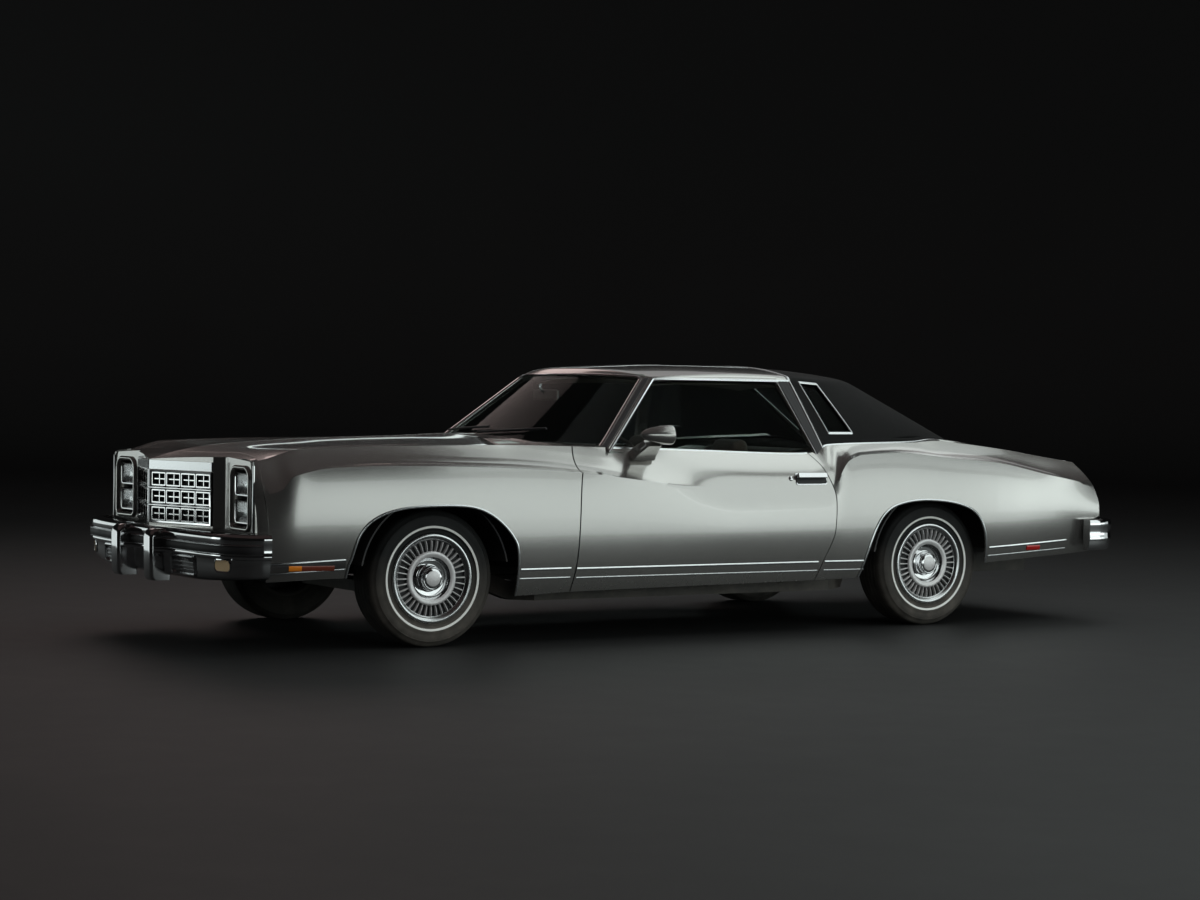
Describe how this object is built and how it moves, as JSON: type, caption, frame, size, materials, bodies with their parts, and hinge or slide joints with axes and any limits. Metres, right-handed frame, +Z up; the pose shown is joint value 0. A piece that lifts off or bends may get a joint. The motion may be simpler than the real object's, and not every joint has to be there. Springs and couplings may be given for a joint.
{
  "type": "personal luxury coupe",
  "caption": "Two-door coupe with a long hood, swept fender lines, a padded half roof and slanted side windows, standing on its wheels.",
  "frame": {"origin": "on the floor under the middle of the overall length and width", "axes": "+X to the car's left side, +Y to its rear, +Z up; the front faces -Y"},
  "size_m": [2.1674, 5.418, 1.3512],
  "materials": {
    "silver_paint": "metallic gloss",
    "black_paint": "satin",
    "chassis_black": "satin",
    "vinyl": "grained, matte",
    "bright_trim": "polished",
    "lamp_glass": "ribbed",
    "amber_lens": "ribbed",
    "red_lens": "ribbed",
    "window_glass": "tinted",
    "engine_iron": "painted, satin",
    "interior_plastic": "grained",
    "seat_cloth": "woven",
    "tyre_rubber": "matte with a thin white ring",
    "wheel_bright": "bright",
    "bare_steel": "weathered"
  },
  "bodies": {
    "body": {"chassis_frame": "chassis_black", "floor_pan": "chassis_black", "wheelhouses": "chassis_black", "radiator_support": "chassis_black", "engine": "engine_iron", "driveshaft": "bare_steel", "rear_axle": "chassis_black", "front_suspension": "chassis_black", "exhaust": "bare_steel", "fuel_tank": "chassis_black", "header_panel": "silver_paint", "grille": "bright_trim", "headlamps": "lamp_glass", "lamp_bezels": "bright_trim", "front_bumper": "bright_trim", "park_lamps": "amber_lens", "cowl_panel": "silver_paint", "roof_panel": "silver_paint", "landau_roof": "vinyl", "fixed_glass": "window_glass", "deck_filler": "silver_paint", "tail_panel": "silver_paint", "tail_lamps": "red_lens", "rear_bumper": "bright_trim", "dashboard": "interior_plastic", "front_seats": "seat_cloth", "rear_seat": "seat_cloth", "fender_left": "silver_paint", "fender_right": "silver_paint", "quarter_panel_left": "silver_paint", "quarter_panel_right": "silver_paint"},
    "hood": {"hood": "silver_paint"},
    "deck_lid": {"deck_lid": "silver_paint"},
    "steering_wheel": {"steering_wheel": "interior_plastic"},
    "door_left": {"door_left": "silver_paint", "door_glass_left": "window_glass"},
    "knuckle_left": {"steering_knuckle_left": "engine_iron"},
    "front_wheel_left": {"tyre_front_left": "tyre_rubber", "wheel_front_left": "wheel_bright"},
    "rear_wheel_left": {"tyre_rear_left": "tyre_rubber", "wheel_rear_left": "wheel_bright"},
    "door_right": {"door_right": "silver_paint", "door_glass_right": "window_glass"},
    "knuckle_right": {"steering_knuckle_right": "engine_iron"},
    "front_wheel_right": {"tyre_front_right": "tyre_rubber", "wheel_front_right": "wheel_bright"},
    "rear_wheel_right": {"tyre_rear_right": "tyre_rubber", "wheel_rear_right": "wheel_bright"}
  },
  "joints": [
    {"name": "door_left_hinge", "type": "hinge", "parent": "body", "child": "door_left", "pos_m": [0.95, -0.745, 0.6], "axis": [0, 0, -1], "range_deg": [0, 65]},
    {"name": "door_right_hinge", "type": "hinge", "parent": "body", "child": "door_right", "pos_m": [-0.95, -0.745, 0.6], "axis": [0, 0, 1], "range_deg": [0, 65]},
    {"name": "hood_hinge", "type": "hinge", "parent": "body", "child": "hood", "pos_m": [0, -0.935, 0.905], "axis": [-1, 0, 0], "range_deg": [0, 50]},
    {"name": "deck_lid_hinge", "type": "hinge", "parent": "body", "child": "deck_lid", "pos_m": [0, 1.63, 0.9], "axis": [1, 0, 0], "range_deg": [0, 60]},
    {"name": "steer_left", "type": "hinge", "parent": "body", "child": "knuckle_left", "pos_m": [0.716, -1.564, 0.323], "axis": [0, 0, 1], "range_deg": [-33, 33]},
    {"name": "front_wheel_left_spin", "type": "hinge", "parent": "knuckle_left", "child": "front_wheel_left", "pos_m": [0.786, -1.564, 0.323], "axis": [1, 0, 0], "continuous": true},
    {"name": "rear_wheel_left_spin", "type": "hinge", "parent": "body", "child": "rear_wheel_left", "pos_m": [0.776, 1.382, 0.323], "axis": [1, 0, 0], "continuous": true},
    {"name": "steer_right", "type": "hinge", "parent": "body", "child": "knuckle_right", "pos_m": [-0.716, -1.564, 0.323], "axis": [0, 0, 1], "range_deg": [-33, 33]},
    {"name": "front_wheel_right_spin", "type": "hinge", "parent": "knuckle_right", "child": "front_wheel_right", "pos_m": [-0.786, -1.564, 0.323], "axis": [1, 0, 0], "continuous": true},
    {"name": "rear_wheel_right_spin", "type": "hinge", "parent": "body", "child": "rear_wheel_right", "pos_m": [-0.776, 1.382, 0.323], "axis": [1, 0, 0], "continuous": true},
    {"name": "steering_wheel_turn", "type": "hinge", "parent": "body", "child": "steering_wheel", "pos_m": [0.405, -0.196, 0.79], "axis": [0, 0.9351, 0.3545], "range_deg": [-528, 528]}
  ],
  "couplings": [
    {"joint": "steer_right", "follows": "steer_left", "ratio": 1},
    {"joint": "steering_wheel_turn", "follows": "steer_left", "ratio": 16}
  ]
}
